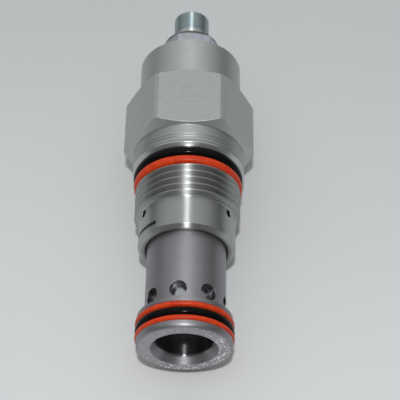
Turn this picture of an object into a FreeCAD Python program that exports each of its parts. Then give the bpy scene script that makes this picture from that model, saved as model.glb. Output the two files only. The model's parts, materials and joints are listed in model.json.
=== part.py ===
import FreeCAD, Part
import math
import os

# A screw-in, two-port, pilot-operated relief cartridge valve, 1"-14 cavity thread, as an assembly.
# Millimetres. The valve lies along Y on one flat of its hex: nose towards -Y, adjuster towards +Y, +Z up.
# The origin is on the axis, in the plane of the locating shoulder that stops the valve in its cavity.
# Angles are in degrees round the axis, from the top (+Z) towards +X.

Vector = FreeCAD.Vector
ORIGIN = Vector(0, 0, 0)
AXIS = Vector(0, 1, 0)
INCH = 25.4
FAR = 100.0

# Driving sizes
THREAD_RADIUS = 1.0 * INCH / 2
THREAD_PITCH = INCH / 14
HEX_FLATS = 1.125 * INCH
SCREW_RADIUS = 0.375 * INCH / 2
SCREW_PITCH = INCH / 24
NUT_FLATS = 0.5625 * INCH
KEY_FLATS = 5 / 32 * INCH

# Stations along the axis
NOSE_FACE = -25.5
SHOULDER_FACE = 0.0
THREAD_START = 8.45
THREAD_END = 17.0
COLLAR_START = 21.5
HEX_START = 27.5
HEX_END = 44.2
BODY_END = 55.5
NUT_THICKNESS = 8.0
SCREW_END = 72.7

# Body
SHOULDER_RADIUS = 11.5
COLLAR_RADIUS = 13.7
REAR_RADIUS = 12.85
HEX_CORNER_RADIUS = 16.15
SOCKET_RADIUS = 9.6
SOCKET_DEPTH = 12.5
SEAT_BORE_RADIUS = 7.5
SEAT_BORE_END = 20.0
CHAMBER_RADIUS = 5.5
CHAMBER_END = 44.0
DRAIN_STATION = 7.05
DRAIN_RADIUS = 0.95
DRAIN_ANGLES = (-62, 58, 178)

# Retaining wire, half in the body and half in the sleeve
WIRE_STATION = 2.5
WIRE_RADIUS = 0.5
WIRE_RING_RADIUS = 9.45
WIRE_GROOVE_WIDTH = 1.2
WIRE_GROOVE_PLAY = 0.1
WIRE_SLOT_WIDTH = 1.0
WIRE_SLOT_ANGLES = (-96, -38)
WIRE_ANGLES = (-50, 265)

# Sleeve
SLEEVE_RADIUS = 9.3
SLEEVE_END = 6.0
SLEEVE_BORE_RADIUS = 7.5
NOSE_RADIUS = 10.95
PORT_RADIUS = 6.4
SEAT_STATION = -17.4
CROSS_HOLE_COUNT = 8
CROSS_HOLE_RADIUS = 2.0
CROSS_HOLE_STATION = -14.95
CROSS_HOLE_FIRST_ANGLE = -10

# Seal glands, as (front, rear) stations
COLLAR_GLAND = (THREAD_END, COLLAR_START)
COLLAR_GLAND_RADIUS = 11.0
COLLAR_BACKUP_WIDTH = 2.1
COLLAR_BACKUP_RADIUS = 13.2
NOSE_GLAND = (-23.8, -19.0)
NOSE_GLAND_RADIUS = 9.3
NOSE_BACKUP_WIDTH = 1.4
RING_PLAY = 0.02
NOSE_RING_RADIUS = 11.3

# Main piston
PISTON_RADIUS = 7.47
PISTON_BORE_RADIUS = 5.9
PISTON_FRONT = -17.9
PISTON_FLOOR = -13.9
PISTON_END = -3.5
BALANCE_GROOVES = (-10.5, -8.5, -6.5)
SCREEN_POCKET_RADIUS = 3.2
SCREEN_POCKET_DEPTH = 1.0
SCREEN_THICKNESS = 0.3
ORIFICE_PLUG_RADIUS = 2.0
METERING_RADIUS = 0.4

# Pilot stage
SEAT_PLUG_FRONT = 1.0
STUB_FACE = 2.0
STUB_RADIUS = 7.45
STUB_END = 6.5
PLUG_NECK_RADIUS = 5.2
PLUG_FLANGE_FRONT = 10.5
PLUG_END = 18.5
PILOT_ORIFICE_RADIUS = 0.9
PILOT_SCREEN_RADIUS = 2.6
SEAT_GLAND = (3.0, 5.0)
SEAT_GLAND_RADIUS = 5.6
PILOT_SEAT_STATION = 14.5
PILOT_GUIDE_RADIUS = 3.0
POPPET_GUIDE_RADIUS = 2.96
POPPET_GUIDE_START = 16.2
POPPET_FLANGE = (18.9, 19.7)
SPRING_SEAT_STATION = 34.5

# Follower and adjuster
FOLLOWER_RADIUS = 5.46
FOLLOWER_END = 41.2
FOLLOWER_GLAND = (36.6, 39.6)
FOLLOWER_GLAND_RADIUS = 3.9
SCREW_HOLE_RADIUS = SCREW_RADIUS + 0.04
SCREW_THREAD_END = 64.3
SCREW_RIM_START = 64.7
SCREW_RIM_END = 66.7
SCREW_TIP_RADIUS = 4.58
NUT_ANGLE = 6


def turned(outline):
    """A solid turned about the valve's axis from a closed outline of (radius, station) points."""
    points = [Vector(radius, station, 0) for radius, station in outline]
    return Part.Face(Part.makePolygon(points + points[:1])).revolve(ORIGIN, AXIS, 360)


def rod(radius, start, end):
    return Part.makeCylinder(radius, end - start, Vector(0, start, 0), AXIS)


def at_angle(shape, angle):
    """The shape, built at the top, turned round the axis to the angle."""
    placed = shape.copy()
    placed.rotate(ORIGIN, AXIS, angle)
    return placed


def arc_band(inner, outer, start, end, angles):
    """A stretch of a square-cut ring between two angles."""
    outline = [(start, inner), (start, outer), (end, outer), (end, inner)]
    corners = [Vector(0, station, radius) for station, radius in outline]
    face = Part.Face(Part.makePolygon(corners + corners[:1]))
    return at_angle(face.revolve(ORIGIN, AXIS, angles[1] - angles[0]), angles[0])


def radial_drill(radius, station, angle, inner, outer):
    return at_angle(Part.makeCylinder(radius, outer - inner, Vector(0, station, inner)), angle)


def hex_prism(across_flats, start, end, angle=0):
    """A hexagonal prism along the axis, with one flat facing the angle."""
    corner = across_flats / 2 / math.cos(math.radians(30))
    turns = [math.radians(60 * i) for i in range(6)]
    points = [Vector(corner * math.cos(t), start, corner * math.sin(t)) for t in turns]
    face = Part.Face(Part.makePolygon(points + points[:1]))
    return at_angle(face.extrude(AXIS * (end - start)), angle)


def along_axis(shape):
    """Turns a shape built along Z so that it lies along Y."""
    shape.rotate(ORIGIN, Vector(1, 0, 0), -90)
    return shape


def helical_groove(radius, pitch, start, end, phase=0):
    """The cutter of a 60 degree thread with flat crests and roots, right-handed."""
    depth = 0.6134 * pitch
    crest = pitch / 8
    overcut = 0.2
    slope = math.tan(math.radians(30))
    mouth = (pitch - crest) / 2 + overcut * slope
    root = (pitch - crest) / 2 - depth * slope
    outer = radius + overcut
    inner = radius - depth
    section = [(outer, -mouth), (outer, mouth), (inner, root), (inner, -root)]
    corners = [Vector(x, 0, z) for x, z in section]
    profile = Part.makePolygon(corners + corners[:1])
    spine = Part.makeHelix(pitch, end - start, radius)
    cutter = Part.Wire(spine).makePipeShell([profile], True, True)
    cutter = along_axis(Part.Solid(cutter) if cutter.ShapeType == "Shell" else cutter)
    cutter.translate(Vector(0, start, 0))
    return at_angle(cutter, phase)


def coil_spring(coil_radius, wire_radius, start, end, turns):
    """A compression spring with both ends ground flat."""
    length = end - start
    pitch = length / turns
    profile = Part.Wire(Part.makeCircle(wire_radius, Vector(coil_radius, 0, 0), Vector(0, 1, 0)))
    spine = Part.makeHelix(pitch, length, coil_radius)
    wire = along_axis(Part.Wire(spine).makePipeShell([profile], True, True))
    wire.translate(Vector(0, start, 0))
    return wire.common(rod(FAR, start, end))


def o_ring(outer, inner, station):
    section = (outer - inner) / 2
    return Part.makeTorus(inner + section, section, Vector(0, station, 0), AXIS)


def backup_ring(outer, inner, start, end):
    """A square-cut plastic ring with its outer corners broken."""
    corner = 0.3
    return turned([
        (inner, start),
        (outer - corner, start),
        (outer, start + corner),
        (outer, end - corner),
        (outer - corner, end),
        (inner, end),
    ])


def rounded(shape, radius, station, fillet):
    """The shape with its circular edge at the radius and station rounded off."""
    edges = [
        edge for edge in shape.Edges
        if abs(edge.BoundBox.XMax - radius) < 0.001 and edge.BoundBox.YLength < 0.001
        and abs(edge.BoundBox.YMax - station) < 0.001
    ]
    return shape.makeFillet(fillet, edges)


def body_outside():
    edge = 0.8
    thread_bevel = 0.8
    thread_edge = 0.25
    collar_bevel = 0.8
    rear_edge = 0.4
    return turned([
        (0, SHOULDER_FACE),
        (SHOULDER_RADIUS - edge, SHOULDER_FACE),
        (SHOULDER_RADIUS, SHOULDER_FACE + edge),
        (SHOULDER_RADIUS, THREAD_START - thread_bevel / 2),
        (THREAD_RADIUS, THREAD_START + thread_bevel / 2),
        (THREAD_RADIUS, THREAD_END - thread_edge),
        (THREAD_RADIUS - thread_edge, THREAD_END),
        (COLLAR_GLAND_RADIUS, COLLAR_GLAND[0]),
        (COLLAR_GLAND_RADIUS, COLLAR_GLAND[1]),
        (COLLAR_RADIUS - collar_bevel, COLLAR_GLAND[1]),
        (COLLAR_RADIUS, COLLAR_GLAND[1] + collar_bevel),
        (COLLAR_RADIUS, HEX_START),
        (REAR_RADIUS, HEX_START),
        (REAR_RADIUS, BODY_END - rear_edge),
        (REAR_RADIUS - rear_edge, BODY_END),
        (0, BODY_END),
    ])


def body_hex():
    """The hex, its corners turned down and its ends chamfered at 30 degrees."""
    face_radius = COLLAR_RADIUS
    run = (HEX_CORNER_RADIUS - face_radius) * math.tan(math.radians(30))
    blank = turned([
        (0, HEX_START),
        (face_radius, HEX_START),
        (HEX_CORNER_RADIUS, HEX_START + run),
        (HEX_CORNER_RADIUS, HEX_END - run),
        (face_radius, HEX_END),
        (0, HEX_END),
    ])
    return blank.common(hex_prism(HEX_FLATS, HEX_START, HEX_END))


def body_bores():
    """Everything bored from the nose end and through to the adjuster."""
    mouth = 0.4
    drill_point = 0.8
    return turned([
        (0, SHOULDER_FACE - 1),
        (SOCKET_RADIUS + mouth, SHOULDER_FACE - 1),
        (SOCKET_RADIUS + mouth, SHOULDER_FACE),
        (SOCKET_RADIUS, SHOULDER_FACE + mouth),
        (SOCKET_RADIUS, SOCKET_DEPTH),
        (SEAT_BORE_RADIUS, SOCKET_DEPTH),
        (SEAT_BORE_RADIUS, SEAT_BORE_END),
        (CHAMBER_RADIUS, SEAT_BORE_END),
        (CHAMBER_RADIUS, CHAMBER_END),
        (SCREW_HOLE_RADIUS, CHAMBER_END + drill_point),
        (SCREW_HOLE_RADIUS, BODY_END + 1),
        (0, BODY_END + 1),
    ])


def collar_lines():
    """Two fine turned grooves round the collar and the undercut where it meets the hex."""
    width = 0.25
    depth = 0.12
    stations = (COLLAR_START + 2.3, COLLAR_START + 3.1, HEX_START - width)
    return [
        arc_band(COLLAR_RADIUS - depth, COLLAR_RADIUS + 1, station, station + width, (0, 360))
        for station in stations
    ]


def wire_groove(inner, outer):
    half = WIRE_GROOVE_WIDTH / 2
    return arc_band(inner, outer, WIRE_STATION - half, WIRE_STATION + half, (0, 360))


def wire_slot():
    """The slot in the body's wall through which the retaining wire is fed."""
    start = WIRE_STATION - WIRE_SLOT_WIDTH / 2
    end = start + WIRE_SLOT_WIDTH
    return arc_band(WIRE_RING_RADIUS, SHOULDER_RADIUS + 1, start, end, WIRE_SLOT_ANGLES)


def hex_body():
    lead = 1.5
    groove_outer = WIRE_RING_RADIUS + WIRE_RADIUS + WIRE_GROOVE_PLAY
    cuts = [body_bores(), wire_groove(WIRE_RING_RADIUS, groove_outer), wire_slot()]
    cuts += collar_lines()
    cuts += [
        radial_drill(DRAIN_RADIUS, DRAIN_STATION, angle, SOCKET_RADIUS - 1, SHOULDER_RADIUS + 1)
        for angle in DRAIN_ANGLES
    ]
    blank = body_outside().fuse(body_hex())
    thread = helical_groove(THREAD_RADIUS, THREAD_PITCH, THREAD_START - lead, THREAD_END + lead)
    threaded = blank.cut(thread)
    if threaded.Volume >= blank.Volume:
        raise ValueError("the thread was not cut")
    return threaded.cut(cuts)


def sleeve_blank():
    countersink = 1.35
    countersink_depth = 1.9
    nose_fillet = 1.0
    flange = 1.0
    cone_run = 0.7
    end_edge = 0.5
    gland_front, gland_rear = NOSE_GLAND
    blank = turned([
        (PORT_RADIUS + countersink, NOSE_FACE),
        (NOSE_RADIUS, NOSE_FACE),
        (NOSE_RADIUS, gland_front),
        (NOSE_GLAND_RADIUS, gland_front),
        (NOSE_GLAND_RADIUS, gland_rear),
        (NOSE_RADIUS, gland_rear),
        (NOSE_RADIUS, gland_rear + flange),
        (SLEEVE_RADIUS, gland_rear + flange + cone_run),
        (SLEEVE_RADIUS, SLEEVE_END - end_edge),
        (SLEEVE_RADIUS - end_edge, SLEEVE_END),
        (SLEEVE_BORE_RADIUS, SLEEVE_END),
        (SLEEVE_BORE_RADIUS, SEAT_STATION),
        (PORT_RADIUS, SEAT_STATION),
        (PORT_RADIUS, NOSE_FACE + countersink_depth),
    ])
    return rounded(blank, NOSE_RADIUS, NOSE_FACE, nose_fillet)


def sleeve():
    """The floating sleeve: nose gland, piston seat, cross holes and the groove for the retaining wire."""
    groove_inner = WIRE_RING_RADIUS - WIRE_RADIUS - WIRE_GROOVE_PLAY
    cuts = [wire_groove(groove_inner, SLEEVE_RADIUS + 1)]
    for i in range(CROSS_HOLE_COUNT):
        angle = CROSS_HOLE_FIRST_ANGLE + i * 360 / CROSS_HOLE_COUNT
        inner = SLEEVE_BORE_RADIUS - 1
        outer = SLEEVE_RADIUS + 1
        cuts.append(radial_drill(CROSS_HOLE_RADIUS, CROSS_HOLE_STATION, angle, inner, outer))
    return sleeve_blank().cut(cuts)


def sleeve_retaining_wire():
    circle = Part.makeCircle(WIRE_RADIUS, Vector(0, WIRE_STATION, WIRE_RING_RADIUS), Vector(1, 0, 0))
    ring = Part.Face(Part.Wire(circle)).revolve(ORIGIN, AXIS, WIRE_ANGLES[1] - WIRE_ANGLES[0])
    return at_angle(ring, WIRE_ANGLES[0])


def collar_backup_ring():
    front = COLLAR_GLAND[0] + RING_PLAY
    return backup_ring(COLLAR_BACKUP_RADIUS, COLLAR_GLAND_RADIUS, front, front + COLLAR_BACKUP_WIDTH)


def collar_o_ring():
    front = COLLAR_GLAND[0] + COLLAR_BACKUP_WIDTH + 2 * RING_PLAY
    width = COLLAR_GLAND[1] - RING_PLAY - front
    inner = COLLAR_GLAND_RADIUS + RING_PLAY
    return o_ring(inner + width, inner, front + width / 2)


def nose_backup_ring_front():
    front = NOSE_GLAND[0]
    return backup_ring(NOSE_RING_RADIUS, NOSE_GLAND_RADIUS, front, front + NOSE_BACKUP_WIDTH)


def nose_backup_ring_rear():
    rear = NOSE_GLAND[1]
    return backup_ring(NOSE_RING_RADIUS, NOSE_GLAND_RADIUS, rear - NOSE_BACKUP_WIDTH, rear)


def nose_o_ring():
    station = sum(NOSE_GLAND) / 2
    return o_ring(NOSE_RING_RADIUS, NOSE_GLAND_RADIUS + RING_PLAY, station)


def main_piston():
    """A cup that seats its 45 degree nose on the sleeve's port edge and closes the cross holes."""
    seat_play = 0.02
    nose_radius = PORT_RADIUS - seat_play - (SEAT_STATION - PISTON_FRONT)
    cone_end = SEAT_STATION + PISTON_RADIUS - (PORT_RADIUS - seat_play)
    pocket_floor = PISTON_FRONT + SCREEN_POCKET_DEPTH
    cup = turned([
        (SCREEN_POCKET_RADIUS, PISTON_FRONT),
        (nose_radius, PISTON_FRONT),
        (PISTON_RADIUS, cone_end),
        (PISTON_RADIUS, PISTON_END),
        (PISTON_BORE_RADIUS, PISTON_END),
        (PISTON_BORE_RADIUS, PISTON_FLOOR),
        (ORIFICE_PLUG_RADIUS, PISTON_FLOOR),
        (ORIFICE_PLUG_RADIUS, pocket_floor),
        (SCREEN_POCKET_RADIUS, pocket_floor),
    ])
    groove_width = 0.4
    groove_depth = 0.25
    grooves = [
        arc_band(PISTON_RADIUS - groove_depth, PISTON_RADIUS + 1, station, station + groove_width, (0, 360))
        for station in BALANCE_GROOVES
    ]
    return cup.cut(grooves)


def damping_orifice():
    """The plug pressed into the piston's crown, with its metering hole and driver slot."""
    front = PISTON_FRONT + SCREEN_POCKET_DEPTH
    plug = turned([
        (METERING_RADIUS, front),
        (ORIFICE_PLUG_RADIUS, front),
        (ORIFICE_PLUG_RADIUS, PISTON_FLOOR),
        (METERING_RADIUS, PISTON_FLOOR),
    ])
    slot_width = 0.6
    corner = Vector(-ORIFICE_PLUG_RADIUS, PISTON_FLOOR - slot_width, -slot_width / 2)
    return plug.cut(Part.makeBox(2 * ORIFICE_PLUG_RADIUS, slot_width, slot_width, corner))


def screen_disc(radius, start):
    """A perforated filter disc: one centre hole and two rings of holes."""
    hole_radius = 0.22
    end = start + SCREEN_THICKNESS
    holes = [rod(hole_radius, start - 1, end + 1)]
    for ring_radius, count in ((radius * 0.35, 6), (radius * 0.65, 12)):
        for i in range(count):
            hole = rod(hole_radius, start - 1, end + 1)
            hole.translate(Vector(0, 0, ring_radius))
            holes.append(at_angle(hole, i * 360 / count))
    return rod(radius, start, end).cut(holes)


def orifice_screen():
    radial_play = 0.05
    start = PISTON_FRONT + SCREEN_POCKET_DEPTH - SCREEN_THICKNESS
    return screen_disc(SCREEN_POCKET_RADIUS - radial_play, start)


def screen_clip():
    """The open snap ring that holds the screen in the piston's nose."""
    inner = 2.5
    thickness = 0.35
    end = PISTON_FRONT + SCREEN_POCKET_DEPTH - SCREEN_THICKNESS - RING_PLAY
    return arc_band(inner, SCREEN_POCKET_RADIUS, end - thickness, end, (20, 340))


def main_spring():
    coil_radius = 5.1
    wire_radius = 0.45
    return coil_spring(coil_radius, wire_radius, PISTON_FLOOR, STUB_FACE, 7)


def pilot_seat():
    """The plug behind the sleeve: its stub closes the sleeve's bore and its heart is the pilot seat."""
    boss_radius = 4.5
    gland_front, gland_rear = SEAT_GLAND
    body = turned([
        (PILOT_ORIFICE_RADIUS, STUB_FACE),
        (PILOT_SCREEN_RADIUS, STUB_FACE),
        (PILOT_SCREEN_RADIUS, SEAT_PLUG_FRONT),
        (boss_radius, SEAT_PLUG_FRONT),
        (boss_radius, STUB_FACE),
        (STUB_RADIUS, STUB_FACE),
        (STUB_RADIUS, gland_front),
        (SEAT_GLAND_RADIUS, gland_front),
        (SEAT_GLAND_RADIUS, gland_rear),
        (STUB_RADIUS, gland_rear),
        (STUB_RADIUS, STUB_END),
        (PLUG_NECK_RADIUS, STUB_END),
        (PLUG_NECK_RADIUS, PLUG_FLANGE_FRONT),
        (SOCKET_RADIUS, PLUG_FLANGE_FRONT),
        (SOCKET_RADIUS, SOCKET_DEPTH),
        (SEAT_BORE_RADIUS, SOCKET_DEPTH),
        (SEAT_BORE_RADIUS, PLUG_END),
        (PILOT_GUIDE_RADIUS, PLUG_END),
        (PILOT_GUIDE_RADIUS, PILOT_SEAT_STATION),
        (PILOT_ORIFICE_RADIUS, PILOT_SEAT_STATION),
    ])
    return body.cut([drain_passage(angle) for angle in (30, 150, 270)])


def drain_passage(angle):
    """A drilling through the plug's flange from the pilot chamber to the drain annulus."""
    radius = 0.7
    offset = 6.2
    passage = rod(radius, PLUG_FLANGE_FRONT - 1, PLUG_END + 1)
    passage.translate(Vector(0, 0, offset))
    return at_angle(passage, angle)


def pilot_seat_o_ring():
    return o_ring(SLEEVE_BORE_RADIUS - RING_PLAY, SEAT_GLAND_RADIUS + RING_PLAY, sum(SEAT_GLAND) / 2)


def pilot_screen():
    recess = 0.1
    return screen_disc(PILOT_SCREEN_RADIUS, STUB_FACE - SCREEN_THICKNESS - recess)


def pilot_poppet():
    """A 60 degree cone on a three-flatted guide, with a flange and a stem inside the pilot spring."""
    seat_play = 0.02
    slope = math.tan(math.radians(30))
    tip = 0.3
    tip_station = PILOT_SEAT_STATION - (PILOT_ORIFICE_RADIUS - seat_play - tip) / slope
    cone_end_radius = tip + (POPPET_GUIDE_START - tip_station) * slope
    neck_radius = 2.2
    flange_radius = 4.0
    stem_radius = 2.1
    stem_end = 23.5
    guide_end = PLUG_END - 0.4
    poppet = turned([
        (0, tip_station),
        (tip, tip_station),
        (cone_end_radius, POPPET_GUIDE_START),
        (POPPET_GUIDE_RADIUS, POPPET_GUIDE_START),
        (POPPET_GUIDE_RADIUS, guide_end),
        (neck_radius, guide_end),
        (neck_radius, POPPET_FLANGE[0]),
        (flange_radius, POPPET_FLANGE[0]),
        (flange_radius, POPPET_FLANGE[1]),
        (stem_radius, POPPET_FLANGE[1]),
        (stem_radius, stem_end),
        (0, stem_end),
    ])
    flat_height = 2.4
    corner = Vector(-POPPET_GUIDE_RADIUS, POPPET_GUIDE_START, flat_height)
    flat = Part.makeBox(2 * POPPET_GUIDE_RADIUS, guide_end - POPPET_GUIDE_START, 1, corner)
    return poppet.cut([at_angle(flat, angle) for angle in (0, 120, 240)])


def pilot_spring():
    coil_radius = 3.35
    wire_radius = 0.75
    return coil_spring(coil_radius, wire_radius, POPPET_FLANGE[1], SPRING_SEAT_STATION, 5)


def spring_follower():
    """The sealed plunger between the pilot spring and the adjusting screw."""
    pip_radius = 2.2
    pip_length = 2.0
    pip_start = SPRING_SEAT_STATION - pip_length
    gland_front, gland_rear = FOLLOWER_GLAND
    return turned([
        (0, pip_start),
        (pip_radius, pip_start),
        (pip_radius, SPRING_SEAT_STATION),
        (FOLLOWER_RADIUS, SPRING_SEAT_STATION),
        (FOLLOWER_RADIUS, gland_front),
        (FOLLOWER_GLAND_RADIUS, gland_front),
        (FOLLOWER_GLAND_RADIUS, gland_rear),
        (FOLLOWER_RADIUS, gland_rear),
        (FOLLOWER_RADIUS, FOLLOWER_END),
        (0, FOLLOWER_END),
    ])


def follower_backup_ring():
    width = 1.2
    rear = FOLLOWER_GLAND[1]
    return backup_ring(FOLLOWER_RADIUS, FOLLOWER_GLAND_RADIUS, rear - width, rear)


def follower_o_ring():
    inner = FOLLOWER_GLAND_RADIUS + RING_PLAY
    half_width = (FOLLOWER_RADIUS - inner) / 2
    return o_ring(FOLLOWER_RADIUS, inner, FOLLOWER_GLAND[0] + half_width + RING_PLAY)


def adjusting_screw():
    """The screw: a threaded shank, a plain rim above the nut and a plain end with a hex socket."""
    tip_edge = 0.35
    point_radius = 3.6
    relief_radius = 4.3
    rim_bevel = SCREW_RADIUS - relief_radius
    blank = turned([
        (0, FOLLOWER_END),
        (point_radius, FOLLOWER_END),
        (SCREW_RADIUS, FOLLOWER_END + SCREW_RADIUS - point_radius),
        (SCREW_RADIUS, SCREW_THREAD_END - rim_bevel),
        (relief_radius, SCREW_THREAD_END),
        (relief_radius, SCREW_RIM_START),
        (SCREW_RADIUS, SCREW_RIM_START + rim_bevel),
        (SCREW_RADIUS, SCREW_RIM_END - tip_edge),
        (SCREW_TIP_RADIUS, SCREW_RIM_END),
        (SCREW_TIP_RADIUS, SCREW_END - tip_edge),
        (SCREW_TIP_RADIUS - tip_edge, SCREW_END),
        (0, SCREW_END),
    ])
    socket_depth = 4.5
    socket = hex_prism(KEY_FLATS, SCREW_END - socket_depth, SCREW_END + 1)
    groove = helical_groove(SCREW_RADIUS, SCREW_PITCH, FOLLOWER_END - 1, SCREW_THREAD_END)
    return blank.cut([groove, socket])


def lock_nut():
    """A hex nut with a short turned boss at its top, bored to clear the screw's crests."""
    gap = 0.02
    start = BODY_END + gap
    end = start + NUT_THICKNESS
    corner = NUT_FLATS / 2 / math.cos(math.radians(30))
    base_radius = NUT_FLATS / 2 * 0.96
    boss_radius = NUT_FLATS / 2 - 0.04
    boss_height = 1.0
    boss_edge = 0.2
    base_run = (corner - base_radius) * math.tan(math.radians(30))
    top_run = (corner - boss_radius) * math.tan(math.radians(30))
    countersink = 0.5
    blank = turned([
        (SCREW_HOLE_RADIUS + countersink, start),
        (base_radius, start),
        (corner, start + base_run),
        (corner, end - boss_height - top_run),
        (boss_radius, end - boss_height),
        (boss_radius, end - boss_edge),
        (boss_radius - boss_edge, end),
        (SCREW_HOLE_RADIUS + countersink, end),
        (SCREW_HOLE_RADIUS, end - countersink),
        (SCREW_HOLE_RADIUS, start + countersink),
    ])
    return blank.common(hex_prism(NUT_FLATS, start, end, NUT_ANGLE))


PIECES = (
    hex_body,
    collar_backup_ring,
    collar_o_ring,
    sleeve,
    sleeve_retaining_wire,
    nose_backup_ring_front,
    nose_o_ring,
    nose_backup_ring_rear,
    main_piston,
    damping_orifice,
    orifice_screen,
    screen_clip,
    main_spring,
    pilot_seat,
    pilot_seat_o_ring,
    pilot_screen,
    pilot_poppet,
    pilot_spring,
    spring_follower,
    follower_o_ring,
    follower_backup_ring,
    adjusting_screw,
    lock_nut,
)


def single_solid(shape):
    """The piece's only solid, taken out of any compound that cutting leaves."""
    solids = shape.Solids
    if len(solids) != 1:
        raise ValueError(f"expected one solid, found {len(solids)}")
    return solids[0]


def main():
    os.makedirs("parts", exist_ok=True)
    for piece in PIECES:
        solid = single_solid(piece())
        if not solid.isValid():
            raise ValueError(f"{piece.__name__} is not a valid solid")
        solid.exportStep(f"parts/{piece.__name__}.step")
        print(f"{piece.__name__}: {solid.Volume:.1f} mm3")


main()
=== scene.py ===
import json
import math
from types import SimpleNamespace

import bmesh
import bpy
from mathutils import Matrix, Vector


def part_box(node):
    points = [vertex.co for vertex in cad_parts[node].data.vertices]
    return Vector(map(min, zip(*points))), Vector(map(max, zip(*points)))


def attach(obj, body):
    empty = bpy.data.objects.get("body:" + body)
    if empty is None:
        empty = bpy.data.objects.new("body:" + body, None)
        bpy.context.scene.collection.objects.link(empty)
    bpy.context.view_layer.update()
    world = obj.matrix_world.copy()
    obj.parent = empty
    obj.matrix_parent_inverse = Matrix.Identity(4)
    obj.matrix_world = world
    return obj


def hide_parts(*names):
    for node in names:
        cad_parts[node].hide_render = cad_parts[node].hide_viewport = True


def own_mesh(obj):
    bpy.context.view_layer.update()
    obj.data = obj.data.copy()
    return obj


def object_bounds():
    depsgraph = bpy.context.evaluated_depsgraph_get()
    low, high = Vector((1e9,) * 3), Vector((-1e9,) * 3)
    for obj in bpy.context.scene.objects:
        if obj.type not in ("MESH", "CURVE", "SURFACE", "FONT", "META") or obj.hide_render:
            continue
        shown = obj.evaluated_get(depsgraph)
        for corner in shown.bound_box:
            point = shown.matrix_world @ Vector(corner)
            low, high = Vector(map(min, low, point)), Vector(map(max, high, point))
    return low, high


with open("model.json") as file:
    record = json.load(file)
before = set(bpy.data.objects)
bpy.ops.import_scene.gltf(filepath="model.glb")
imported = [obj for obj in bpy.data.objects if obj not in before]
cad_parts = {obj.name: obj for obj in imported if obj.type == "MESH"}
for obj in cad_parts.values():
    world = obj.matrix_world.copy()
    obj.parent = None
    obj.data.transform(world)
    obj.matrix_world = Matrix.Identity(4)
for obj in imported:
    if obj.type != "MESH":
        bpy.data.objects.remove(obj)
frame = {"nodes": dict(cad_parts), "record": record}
CAD_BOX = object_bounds()

# Everything is in metres, in the CAD frame: the valve's axis lies along Y, its nose towards -Y.
MM = 0.001
CAD_LOW = CAD_BOX[0]
NODES = frame["nodes"]
BODY_OF_NODE = {
    node: body
    for body, members in frame["record"]["behaviour"]["bodies"].items()
    for node in members
}
SLOT_OF_NODE = {row["node"]: row["material_slot"] for row in frame["record"]["subparts"]}

# Where the finish changes, and where painted shade and a painted reflection go, in the millimetres that the
# shaders use: radii from the axis, and stations along it. A pair is a start and an end.
PORT_RADIUS = 6.4
SLEEVE_BORE_RADIUS = 7.5
SLEEVE_RADIUS = 9.3
CROSS_HOLES = (-16.95, -12.95)
SHOULDER_RADIUS = 11.5
DRAIN_HOLES = (6.1, 8.0)
THREAD = (8.45, 17.0)
COLLAR_RADIUS = 13.7
COLLAR = (21.5, 27.5)
COLLAR_LIP = (21.5, 22.6)
LINE_BEHIND_LIP = (22.65, 22.85)
NUT_HEX_END = 62.52
RIM_END = 66.7

# Rounded edges in the shaders, and smooth shading of the CAD meshes
EDGE_RADIUS = 0.15 * MM
WELD_DISTANCE = 0.0005 * MM
SHARP_ANGLE = math.radians(20)

# Soft rings. Squareness 2 is an ellipse, and more is squarer.
O_RINGS = ("collar_o_ring", "nose_o_ring", "pilot_seat_o_ring", "follower_o_ring")
BACKUP_RINGS = (
    "collar_backup_ring",
    "nose_backup_ring_front",
    "nose_backup_ring_rear",
    "follower_backup_ring",
)
RING_SQUARENESS = 2.3
RING_SEGMENTS = 240
SECTION_POINTS = 40

# Springs: the number of turns, then the lengths, each with the joint that its piece is named after. A
# length has its joint, its share of the coil and the end that stays in place, counted from 0 at the front
# to 1 at the rear.
SPRINGS = {
    "main_spring": (8, [("piston_lift", (0.0, 1.0), 1.0)]),
    "pilot_spring": (6.5, [("poppet_lift", (0.0, 0.5), 0.5), ("adjuster_travel", (0.5, 1.0), 0.5)]),
}
CLOSED_TURNS = 1.0
STEPS_PER_TURN = 60
WIRE_SIDES = 16

# The camera stands in front of the nose, high above the table, and looks down along the valve.
SENSOR_WIDTH = 36.0
LENS = 105.8
LOOK_DOWN_DEGREES = 55.9
ROLL_DEGREES = 0.94
EYE_ASIDE = 2.98 * MM
EYE_BEFORE_NOSE = 119.4 * MM
EYE_HEIGHT = 236.0 * MM
FOCUS = 265.0 * MM
F_STOP = 56.0

# One compact lamp above and in front of the nose, on a pale table in a soft room
LAMP_PLACE = Vector((0.0, -0.155, 0.41))
LAMP_AIM = Vector((0.0, 0.02, 0.0))
LAMP_DIAMETER = 0.022
LAMP_WATTS = 1.05
TABLE_SIZE = 3.0
ROOM_COLOUR = (0.97, 0.99, 1.0, 1.0)
ROOM_BRIGHT_SIDE = Vector((-0.12, 0.5, 0.85)).normalized()
ROOM_DIM = 0.16
ROOM_BRIGHT = 0.72


# ---------------------------------------------------------------- shader helpers

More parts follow.
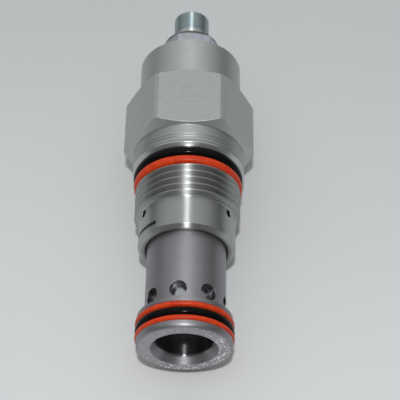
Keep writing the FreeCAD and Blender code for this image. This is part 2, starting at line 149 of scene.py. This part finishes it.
class Shader:
    """A material's node tree, with short calls to add nodes and link them."""

    def __init__(self, name):
        self.material = bpy.data.materials.new(name)
        self.material.use_nodes = True
        self.tree = self.material.node_tree
        self.principled = self.tree.nodes["Principled BSDF"]

    def node(self, kind, **settings):
        made = self.tree.nodes.new(kind)
        for key, value in settings.items():
            setattr(made, key, value)
        return made

    def put(self, socket, value):
        """Links a socket to an input, or sets the input to a plain value."""
        if isinstance(value, bpy.types.NodeSocket):
            self.tree.links.new(value, socket)
        else:
            socket.default_value = value

    def math(self, operation, a, b=0.0):
        made = self.node("ShaderNodeMath", operation=operation)
        self.put(made.inputs[0], a)
        self.put(made.inputs[1], b)
        return made.outputs[0]

    def line(self, value, slope, offset):
        """A straight line: value times slope, plus offset."""
        return self.math("ADD", self.math("MULTIPLY", value, slope), offset)

    def product(self, first, *others):
        result = first
        for other in others:
            result = self.math("MULTIPLY", result, other)
        return result

    def sum_of(self, a, a_share, b, b_share):
        return self.math("ADD", self.math("MULTIPLY", a, a_share), self.math("MULTIPLY", b, b_share))

    def place(self):
        """Object coordinates in millimetres, as separate X, Y and Z sockets."""
        coordinates = self.node("ShaderNodeTexCoord")
        scaled = self.node("ShaderNodeVectorMath", operation="SCALE")
        self.put(scaled.inputs[0], coordinates.outputs["Object"])
        scaled.inputs["Scale"].default_value = 1 / MM
        split = self.node("ShaderNodeSeparateXYZ")
        self.put(split.inputs[0], scaled.outputs[0])
        return scaled.outputs[0], split.outputs

    def radius(self, xyz):
        """Distance from the valve's axis."""
        across = self.math("MULTIPLY", xyz[0], xyz[0])
        up = self.math("MULTIPLY", xyz[2], xyz[2])
        return self.math("SQRT", self.math("ADD", across, up))

    def noise(self, scale, detail=2.0, vector=None, w=None, roughness=0.5):
        made = self.node("ShaderNodeTexNoise", noise_dimensions="1D" if w is not None else "3D")
        if w is not None:
            self.put(made.inputs["W"], w)
        else:
            self.put(made.inputs["Vector"], vector)
        made.inputs["Scale"].default_value = scale
        made.inputs["Detail"].default_value = detail
        made.inputs["Roughness"].default_value = roughness
        return made.outputs["Fac"]

    def stretched(self, vector, scale):
        mapping = self.node("ShaderNodeMapping")
        self.put(mapping.inputs["Vector"], vector)
        mapping.inputs["Scale"].default_value = scale
        return mapping.outputs[0]

    def ramp(self, value, low, high, out_low=0.0, out_high=1.0):
        """Maps a value from one range to another, smoothly and clamped."""
        made = self.node("ShaderNodeMapRange", interpolation_type="SMOOTHSTEP")
        self.put(made.inputs["Value"], value)
        made.inputs["From Min"].default_value = low
        made.inputs["From Max"].default_value = high
        made.inputs["To Min"].default_value = out_low
        made.inputs["To Max"].default_value = out_high
        return made.outputs[0]

    def band(self, value, ends, soft=0.1):
        """1 between the two ends, and 0 outside."""
        low, high = ends
        after_low = self.ramp(value, low - soft, low + soft)
        before_high = self.ramp(value, high + soft, high - soft)
        return self.product(after_low, before_high)

    def mix(self, amount, a, b):
        made = self.node("ShaderNodeMix", data_type="RGBA")
        self.put(made.inputs["Factor"], amount)
        self.put(made.inputs["A"], a)
        self.put(made.inputs["B"], b)
        return made.outputs["Result"]

    def blend(self, amount, a, b):
        """A plain number between a and b."""
        made = self.node("ShaderNodeMix", data_type="FLOAT")
        self.put(made.inputs[0], amount)
        self.put(made.inputs[2], a)
        self.put(made.inputs[3], b)
        return made.outputs[0]

    def scaled(self, colour, tone):
        """A colour, plain or from a socket, made lighter or darker."""
        made = self.node("ShaderNodeVectorMath", operation="SCALE")
        self.put(made.inputs[0], colour if isinstance(colour, bpy.types.NodeSocket) else colour[:3])
        self.put(made.inputs["Scale"], tone)
        return made.outputs[0]

    def painted_glint_specks(self, vector):
        """Bright specks painted as glints, with a few darker specks, as on a coarsely faced end."""
        cells = self.node("ShaderNodeTexVoronoi")
        self.put(cells.inputs["Vector"], vector)
        cells.inputs["Scale"].default_value = 3.2
        split = self.node("ShaderNodeSeparateXYZ")
        self.put(split.inputs[0], cells.outputs["Color"])
        bright = self.ramp(split.outputs[0], 0.72, 0.98, 0.0, 3.2)
        dark = self.ramp(split.outputs[1], 0.6, 0.95, 0.0, 0.6)
        return self.math("SUBTRACT", bright, dark)

    def turning(self, vector, xyz, lines, across):
        """Fine lines round the axis, some of them broken."""
        along = self.math("ADD", xyz[1], self.radius(xyz))
        fine = self.noise(lines, 3.0, w=along, roughness=0.7)
        broken = self.noise(1.0, 3.0, self.stretched(vector, (across, lines, across)))
        return self.sum_of(fine, 0.6, broken, 0.4)

    def faces_nose(self):
        """1 where the surface looks along -Y, the way the nose does, and 0 where it looks sideways."""
        normal = self.node("ShaderNodeTexCoord").outputs["Normal"]
        split = self.node("ShaderNodeSeparateXYZ")
        self.put(split.inputs[0], normal)
        return self.math("MULTIPLY", split.outputs[1], -1.0)

    def bump(self, height, distance_mm, under=None):
        made = self.node("ShaderNodeBump")
        self.put(made.inputs["Height"], height)
        made.inputs["Distance"].default_value = distance_mm * MM
        if under is not None:
            self.put(made.inputs["Normal"], under)
        return made.outputs[0]

    def edges(self):
        """(rounded normal, edge mask): the mask is 1 where the surface turns a corner."""
        rounded = self.node("ShaderNodeBevel", samples=6)
        rounded.inputs["Radius"].default_value = EDGE_RADIUS
        plain = self.node("ShaderNodeNewGeometry")
        dot = self.node("ShaderNodeVectorMath", operation="DOT_PRODUCT")
        self.put(dot.inputs[0], rounded.outputs[0])
        self.put(dot.inputs[1], plain.outputs["Normal"])
        return rounded.outputs[0], self.ramp(dot.outputs["Value"], 0.99, 0.9)

    def round_axis(self):
        """Inputs that stretch a highlight along the axis, as turned metal does."""
        tangent = self.node("ShaderNodeTangent", direction_type="RADIAL", axis="Y")
        return {"anisotropic_rotation": 0.25, "tangent": tangent.outputs[0]}

    def finish(self, **inputs):
        for name, value in inputs.items():
            self.put(self.principled.inputs[input_name(name)], value)
        return self.material


def input_name(keyword):
    """The shader's own name for an input: specular_ior_level is Specular IOR Level."""
    return keyword.replace("_", " ").title().replace("Ior", "IOR")


def opaque(channels):
    """Red, green and blue as a colour."""
    return tuple(channels) + (1.0,)


def grey(value, tint=(1.0, 1.0, 1.0)):
    return opaque(value * channel for channel in tint)


# ---------------------------------------------------------------- materials

def turned_zones(s, xyz):
    """Masks of the nose port and cross holes, which get painted shade, of the nose face, which gets painted
    light, and of its lit side, where the painted glints go.
    """
    radius = s.radius(xyz)
    in_wall = s.band(radius, (SLEEVE_BORE_RADIUS + 0.15, SLEEVE_RADIUS - 0.1), 0.05)
    return SimpleNamespace(
        port=s.ramp(radius, PORT_RADIUS + 0.4, PORT_RADIUS + 0.1),
        hole=s.product(in_wall, s.band(xyz[1], CROSS_HOLES)),
        nose=s.ramp(s.faces_nose(), 0.8, 0.95),
        lit_side=s.ramp(s.math("SUBTRACT", xyz[0], xyz[2]), -8.0, 9.0, 0.25, 1.0),
    )


def turned_metal(name, colour, rough, lines, depth_mm, anisotropy, painted_glint_amount=0.0):
    """Metal with fine turning lines and stains, painted highlights on its edges, painted light and painted
    glints on the nose face, and painted shade in the port and holes.
    """
    s = Shader(name)
    vector, xyz = s.place()
    zone = turned_zones(s, xyz)
    grooves = s.turning(vector, xyz, lines, 0.5)
    coarse = s.noise(lines / 6, 1.0, w=s.math("ADD", xyz[1], s.radius(xyz)))
    stains = s.noise(0.35, 4.0, vector, roughness=0.6)
    # Painted glints: bright specks added to the colour of the nose face, most on its lit side.
    painted_glints = s.product(s.painted_glint_specks(vector), zone.nose, painted_glint_amount, zone.lit_side)
    mottled = s.product(s.line(stains, 0.16, 0.92), s.line(coarse, 0.16, 0.92))
    tone = s.product(
        s.math("ADD", mottled, painted_glints),
        # Painted shade: the port's bore is darker.
        s.blend(zone.port, 1.0, 0.7),
        # Painted shade: the walls of the cross holes are much darker.
        s.blend(zone.hole, 1.0, 0.28),
        # Painted light: the nose face, which looks towards the lamp, is lighter.
        s.blend(zone.nose, 1.0, 1.32),
    )
    # Painted highlight: edges are mixed towards this lighter colour where the surface turns a corner, but
    # not in the holes.
    bright = opaque(min(1.0, channel * 1.5 + 0.1) for channel in colour[:3])
    normal, corner = s.edges()
    painted_edge_highlight = s.product(corner, s.blend(zone.hole, 0.4, 0.0))
    roughness = s.line(s.math("ADD", grooves, stains), 0.12, rough - 0.12)
    return s.finish(
        base_color=s.mix(painted_edge_highlight, s.scaled(colour, tone), bright),
        metallic=1.0,
        roughness=s.blend(zone.port, roughness, 0.26),
        anisotropic=s.blend(zone.port, anisotropy, 0.95),
        normal=s.bump(grooves, depth_mm, under=normal),
        **s.round_axis(),
    )


def body_zones(s, xyz):
    """Masks of the parts of the body that have their own finish; the lip also gets a painted reflection,
    and the drain holes painted shade.
    """
    radius = s.radius(xyz)
    satin = s.ramp(xyz[1], COLLAR[0], COLLAR[0] + 0.6)
    inside = s.ramp(radius, SHOULDER_RADIUS - 0.04, SHOULDER_RADIUS - 0.1)
    return SimpleNamespace(
        hex=s.ramp(radius, COLLAR_RADIUS + 0.06, COLLAR_RADIUS + 0.16),
        satin=satin,
        thread=s.band(xyz[1], THREAD),
        collar=s.product(satin, s.ramp(xyz[1], COLLAR[1], COLLAR[1] - 0.5)),
        lip=s.band(xyz[1], COLLAR_LIP),
        lip_line=s.band(xyz[1], LINE_BEHIND_LIP),
        drilled_and_shaded=s.product(s.band(xyz[1], DRAIN_HOLES), inside),
    )


def body_tone(s, vector, zone, height):
    """Light and dark over the body: stains, streaks and tool marks, then the zones, with a painted
    reflection on the lip and painted shade in the drain holes.
    """
    stains = s.noise(0.25, 4.0, vector, roughness=0.6)
    streaks = s.noise(1.0, 3.0, s.stretched(vector, (0.5, 1.6, 0.5)))
    return s.product(
        s.line(stains, 0.14, 0.93),
        s.line(height, 0.36, 0.82),
        s.line(streaks, 0.16, 0.92),
        s.blend(s.math("MAXIMUM", zone.hex, zone.satin), 0.82, 1.0),
        s.blend(zone.collar, 1.0, 0.88),
        # Painted reflection: the polished lip is made lighter.
        s.blend(zone.lip, 1.0, 1.25),
        s.blend(zone.lip_line, 1.0, 0.4),
        # Painted shade: the walls of the drain holes are almost black.
        s.blend(zone.drilled_and_shaded, 1.0, 0.08),
    )


def body_roughness(s, zone, turned, flats):
    """Each zone has its own roughness over the turned metal's."""
    roughness = s.blend(zone.thread, s.line(turned, 0.1, 0.27), 0.42)
    roughness = s.blend(zone.satin, roughness, s.line(turned, 0.1, 0.42))
    roughness = s.blend(zone.drilled_and_shaded, roughness, 0.6)
    roughness = s.blend(zone.lip, roughness, 0.3)
    return s.blend(zone.hex, roughness, s.line(flats, 0.16, 0.36))


def body_steel():
    """Bright turned metal before the collar, satin on it and behind the hex, and milled hex flats."""
    s = Shader("body_steel")
    vector, xyz = s.place()
    zone = body_zones(s, xyz)
    turned = s.turning(vector, xyz, 6.0, 0.4)
    milled = s.noise(1.0, 4.0, s.stretched(vector, (0.45, 2.6, 0.45)), roughness=0.7)
    grain = s.noise(9.0, 2.0, vector, roughness=0.6)
    flats = s.sum_of(milled, 0.7, grain, 0.3)
    height = s.blend(zone.hex, turned, flats)
    normal, corner = s.edges()
    # Painted highlight: edges are mixed towards light grey where the surface turns a corner, but not in the
    # drain holes.
    painted_edge_highlight = s.product(corner, s.blend(zone.drilled_and_shaded, 0.35, 0.0))
    plain = s.scaled((0.485, 0.50, 0.49), body_tone(s, vector, zone, height))
    not_turned = s.math("MAXIMUM", zone.hex, zone.drilled_and_shaded)
    return s.finish(
        base_color=s.mix(painted_edge_highlight, plain, grey(0.75)),
        metallic=1.0,
        roughness=body_roughness(s, zone, turned, flats),
        anisotropic=s.blend(not_turned, s.blend(zone.satin, 0.97, 0.6), 0.1),
        normal=s.bump(height, 0.006, under=normal),
        **s.round_axis(),
    )


def zinc_plate(name, colour):
    """(shader, XYZ, colour, fine lines) of zinc plate whose tint drifts between blue and green."""
    s = Shader(name)
    vector, xyz = s.place()
    drift = s.noise(0.5, 3.0, vector)
    cool = opaque(c * k for c, k in zip(colour, (0.92, 0.98, 1.06)))
    warm = opaque(c * k for c, k in zip(colour, (1.02, 1.03, 0.97)))
    tinted = s.mix(s.ramp(drift, 0.35, 0.65), cool, warm)
    patches = s.noise(0.9, 4.0, s.stretched(vector, (1.0, 0.6, 1.0)), roughness=0.6)
    shaded = s.scaled(tinted, s.line(patches, 0.5, 0.72))
    lines = s.noise(1.0, 2.0, s.stretched(vector, (0.3, 5.0, 0.3)), roughness=0.6)
    return s, xyz, shaded, lines


def zinc_screw():
    """Blue-green on its turned tip, and clean metal from the rim down."""
    s, xyz, shaded, lines = zinc_plate("zinc_screw", (0.41, 0.485, 0.485))
    clean = s.ramp(xyz[1], RIM_END + 0.25, RIM_END - 0.25)
    normal, corner = s.edges()
    base = s.mix(clean, shaded, grey(0.66))
    return s.finish(
        # Painted highlight: edges are mixed towards light grey.
        base_color=s.mix(s.math("MULTIPLY", corner, 0.45), base, grey(0.8)),
        metallic=1.0,
        roughness=s.line(lines, 0.1, 0.34),
        anisotropic=1.0,
        normal=s.bump(lines, 0.03, under=normal),
        **s.round_axis(),
    )


def zinc_nut():
    """Bright flats, and painted shade that makes the turned boss at the top dark."""
    s, xyz, shaded, lines = zinc_plate("zinc_nut", (0.54, 0.54, 0.57))
    boss_painted_shade = s.ramp(xyz[1], NUT_HEX_END - 0.1, NUT_HEX_END + 0.05)
    normal, corner = s.edges()
    # Painted highlight: edges are mixed towards light grey.
    base = s.mix(s.math("MULTIPLY", corner, 0.4), shaded, grey(0.75))
    return s.finish(
        # Painted shade: the turned boss behind the hex is near black.
        base_color=s.mix(boss_painted_shade, base, grey(0.16)),
        metallic=1.0,
        roughness=s.line(lines, 0.15, 0.33),
        normal=s.bump(lines, 0.006, under=normal),
    )


def seal_rubber():
    """Black rubber with a thin, uneven film of oil."""
    s = Shader("seal_rubber")
    vector, _ = s.place()
    grain = s.noise(5.0, 4.0, vector, roughness=0.6)
    film = s.noise(0.8, 3.0, vector)
    tone = s.mix(grain, grey(0.002), grey(0.006, (1.0, 0.94, 1.04)))
    return s.finish(
        base_color=tone,
        roughness=s.line(film, 0.06, 0.12),
        specular_ior_level=0.07,
        normal=s.bump(grain, 0.004),
    )


def backup_plastic():
    """Slightly cloudy orange plastic."""
    s = Shader("backup_plastic")
    vector, _ = s.place()
    cloud = s.noise(0.5, 4.0, vector)
    grain = s.noise(6.0, 3.0, vector)
    tone = s.mix(s.ramp(cloud, 0.3, 0.7), (0.53, 0.032, 0.007, 1.0), (0.63, 0.056, 0.010, 1.0))
    return s.finish(
        base_color=tone,
        roughness=s.line(grain, 0.15, 0.3),
        specular_ior_level=0.2,
        subsurface_weight=0.1,
        subsurface_scale=0.5 * MM,
        normal=s.bump(grain, 0.006),
    )


def plain_metal(name, colour, rough):
    """Wire and sheet inside the valve."""
    s = Shader(name)
    vector, _ = s.place()
    grain = s.noise(4.0, 3.0, vector, roughness=0.6)
    tone = s.mix(grain, opaque(0.85 * c for c in colour[:3]), colour)
    return s.finish(
        base_color=tone,
        metallic=1.0,
        roughness=s.line(grain, 0.15, rough),
        normal=s.bump(grain, 0.004),
    )


def pale_table():
    """A plain pale surface, with painted shade that makes it a little darker towards the back."""
    s = Shader("pale_table")
    vector, xyz = s.place()
    cloud = s.noise(0.006, 3.0, vector)
    grain = s.noise(0.8, 4.0, vector)
    tint = (0.975, 1.0, 1.005)
    tone = s.mix(s.ramp(cloud, 0.35, 0.65), grey(0.63, tint), grey(0.65, tint))
    # Painted shade: the table darkens towards the back, away from the lamp.
    tone = s.scaled(tone, s.ramp(xyz[1], -40.0, 100.0, 1.03, 0.92))
    return s.finish(base_color=tone, roughness=0.5, specular_ior_level=0.1, normal=s.bump(grain, 0.02))


MATERIALS = {
    "body_steel": body_steel(),
    "sleeve_steel": turned_metal(
        "sleeve_steel",
        grey(0.30, (1.0, 0.975, 1.03)),
        rough=0.48,
        lines=9.0,
        depth_mm=0.003,
        anisotropy=0.55,
        painted_glint_amount=0.55,
    ),
    "piston_steel": turned_metal(
        "piston_steel",
        grey(0.45, (0.97, 1.0, 1.03)),
        rough=0.2,
        lines=14.0,
        depth_mm=0.001,
        anisotropy=0.3,
    ),
    "zinc_screw": zinc_screw(),
    "zinc_nut": zinc_nut(),
    "spring_steel": plain_metal("spring_steel", grey(0.35), 0.25),
    "screen_steel": plain_metal("screen_steel", grey(0.5), 0.3),
    "orifice_brass": plain_metal("orifice_brass", (0.65, 0.47, 0.2, 1.0), 0.25),
    "seal_rubber": seal_rubber(),
    "backup_plastic": backup_plastic(),
}


def dress(piece, slot):
    piece.data.materials.clear()
    piece.data.materials.append(MATERIALS[slot])


def smooth_cad_node(piece):
    """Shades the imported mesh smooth, except across its real edges."""
    for polygon in piece.data.polygons:
        polygon.use_smooth = True
    weld = piece.modifiers.new("weld", "WELD")
    weld.merge_threshold = WELD_DISTANCE
    split = piece.modifiers.new("edges", "EDGE_SPLIT")
    split.split_angle = SHARP_ANGLE


# ---------------------------------------------------------------- soft rings and springs

def ring_size(node):
    """(inner radius, outer radius, front, rear) of a ring on the valve's axis."""
    radii = [math.hypot(v.co.x, v.co.z) for v in NODES[node].data.vertices]
    low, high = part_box(node)
    return min(radii), max(radii), low.y, high.y


def add_piece(name, mesh):
    """A smooth-shaded object from a finished bmesh."""
    bmesh.ops.recalc_face_normals(mesh, faces=mesh.faces)
    data = bpy.data.meshes.new(name)
    mesh.to_mesh(data)
    mesh.free()
    for polygon in data.polygons:
        polygon.use_smooth = True
    piece = bpy.data.objects.new(name, data)
    bpy.context.scene.collection.objects.link(piece)
    return piece


def bridge(mesh, loop, after):
    """A band of faces from one loop of vertices to the next."""
    for j in range(len(loop)):
        k = (j + 1) % len(loop)
        mesh.faces.new((loop[j], loop[k], after[k], after[j]))


def lathe(name, section):
    """A ring swept round the axis from a closed section of (radius, station) points."""
    mesh = bmesh.new()
    loops = []
    for i in range(RING_SEGMENTS):
        turn = 2 * math.pi * i / RING_SEGMENTS
        loops.append([mesh.verts.new((r * math.sin(turn), y, r * math.cos(turn))) for r, y in section])
    for i, loop in enumerate(loops):
        bridge(mesh, loop, loops[(i + 1) % RING_SEGMENTS])
    return add_piece(name, mesh)


def wire_loop(mesh, radius, wire, station, turn):
    """The vertices round the wire of a coil, where it has turned this far."""
    loop = []
    for j in range(WIRE_SIDES):
        t = 2 * math.pi * j / WIRE_SIDES
        r = radius + wire * math.cos(t)
        loop.append(mesh.verts.new((r * math.sin(turn), station + wire * math.sin(t), r * math.cos(turn))))
    return loop


def coil(name, size, turns, share):
    """A share of a compression spring whose first and last turns lie closed against their seats."""
    inner, outer, front, rear = size
    radius = (inner + outer) / 2
    wire = (outer - inner) / 2
    end_pitch = 2 * wire
    most_open = turns - 2 * CLOSED_TURNS
    open_pitch = (rear - front - 2 * wire - 2 * CLOSED_TURNS * end_pitch) / most_open
    mesh = bmesh.new()
    loops = []
    first, last = (round(end * turns * STEPS_PER_TURN) for end in share)
    for i in range(first, last + 1):
        turned = i / STEPS_PER_TURN
        open_turns = min(max(turned - CLOSED_TURNS, 0), most_open)
        station = front + wire + (turned - open_turns) * end_pitch + open_turns * open_pitch
        loops.append(wire_loop(mesh, radius, wire, station, 2 * math.pi * turned))
    for loop, after in zip(loops, loops[1:]):
        bridge(mesh, loop, after)
    mesh.faces.new(loops[0])
    mesh.faces.new(loops[-1])
    return add_piece(name, mesh)


def stand_in_for(piece, node):
    """The piece takes the node's place, body and material."""
    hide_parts(node)
    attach(piece, BODY_OF_NODE[node])
    dress(piece, SLOT_OF_NODE[node])


def squarer(value):
    """A sine or cosine, changed so that a circle becomes a rounded square."""
    return math.copysign(abs(value) ** (2 / RING_SQUARENESS), value)


def ring_section(size):
    """The closed, rounded section that fills a ring's size."""
    inner, outer, front, rear = size
    points = []
    for i in range(SECTION_POINTS):
        t = 2 * math.pi * i / SECTION_POINTS
        points.append((
            (inner + outer) / 2 + (outer - inner) / 2 * squarer(math.cos(t)),
            (front + rear) / 2 + (rear - front) / 2 * squarer(math.sin(t)),
        ))
    return points


def soft_ring(node):
    stand_in_for(lathe(node + "_soft", ring_section(ring_size(node))), node)


def spring(node, turns, lengths):
    """Stands in for the node with one coil for each length, named after its joint."""
    size = ring_size(node)
    for joint, share, fixed in lengths:
        piece = coil(f"{node}_{joint}", size, turns, share)
        stand_in_for(piece, node)
        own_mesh(piece)


for node in O_RINGS + BACKUP_RINGS:
    soft_ring(node)
for node, (turns, lengths) in SPRINGS.items():
    spring(node, turns, lengths)

for node, piece in NODES.items():
    if node not in O_RINGS + BACKUP_RINGS + tuple(SPRINGS):
        dress(piece, SLOT_OF_NODE[node])
        smooth_cad_node(piece)


# ---------------------------------------------------------------- table, light and camera

def table():
    bpy.ops.mesh.primitive_plane_add(size=TABLE_SIZE, location=(0, 0, CAD_LOW.z))
    floor = bpy.context.object
    floor.name = "table"
    floor.data.materials.append(pale_table())


def lamp():
    data = bpy.data.lights.new("lamp", "AREA")
    data.shape = "DISK"
    data.size = LAMP_DIAMETER
    data.energy = LAMP_WATTS
    made = bpy.data.objects.new("lamp", data)
    made.location = LAMP_PLACE
    made.rotation_euler = (LAMP_AIM - LAMP_PLACE).to_track_quat("-Z", "Y").to_euler()
    bpy.context.scene.collection.objects.link(made)


def room():
    """One broad bright patch high behind the valve, and dimmer towards the camera and the walls."""
    made = bpy.data.worlds.new("room")
    made.use_nodes = True
    tree = made.node_tree
    background = tree.nodes["Background"]
    coordinates = tree.nodes.new("ShaderNodeTexCoord")
    towards = tree.nodes.new("ShaderNodeVectorMath")
    towards.operation = "DOT_PRODUCT"
    towards.inputs[1].default_value = ROOM_BRIGHT_SIDE
    ramp = tree.nodes.new("ShaderNodeMapRange")
    ramp.interpolation_type = "SMOOTHSTEP"
    ramp.inputs["From Min"].default_value = 0.1
    ramp.inputs["From Max"].default_value = 0.95
    ramp.inputs["To Min"].default_value = ROOM_DIM
    ramp.inputs["To Max"].default_value = ROOM_BRIGHT
    tree.links.new(coordinates.outputs["Generated"], towards.inputs[0])
    tree.links.new(towards.outputs["Value"], ramp.inputs["Value"])
    tree.links.new(ramp.outputs[0], background.inputs["Strength"])
    background.inputs["Color"].default_value = ROOM_COLOUR
    bpy.context.scene.world = made


def camera():
    """Looks down the valve from in front of its nose."""
    data = bpy.data.cameras.new("camera")
    data.sensor_width = SENSOR_WIDTH
    data.lens = LENS
    data.clip_start = 10 * MM
    data.dof.use_dof = True
    data.dof.focus_distance = FOCUS
    data.dof.aperture_fstop = F_STOP
    eye = bpy.data.objects.new("camera", data)
    eye.location = (EYE_ASIDE, CAD_LOW.y - EYE_BEFORE_NOSE, EYE_HEIGHT)
    pitch = Matrix.Rotation(math.radians(90 - LOOK_DOWN_DEGREES), 3, "X")
    roll = Matrix.Rotation(math.radians(ROLL_DEGREES), 3, "Z")
    eye.rotation_euler = (pitch @ roll).to_euler()
    bpy.context.scene.collection.objects.link(eye)
    bpy.context.scene.camera = eye


table()
room()
camera()
lamp()
bpy.context.scene.view_settings.view_transform = "Standard"
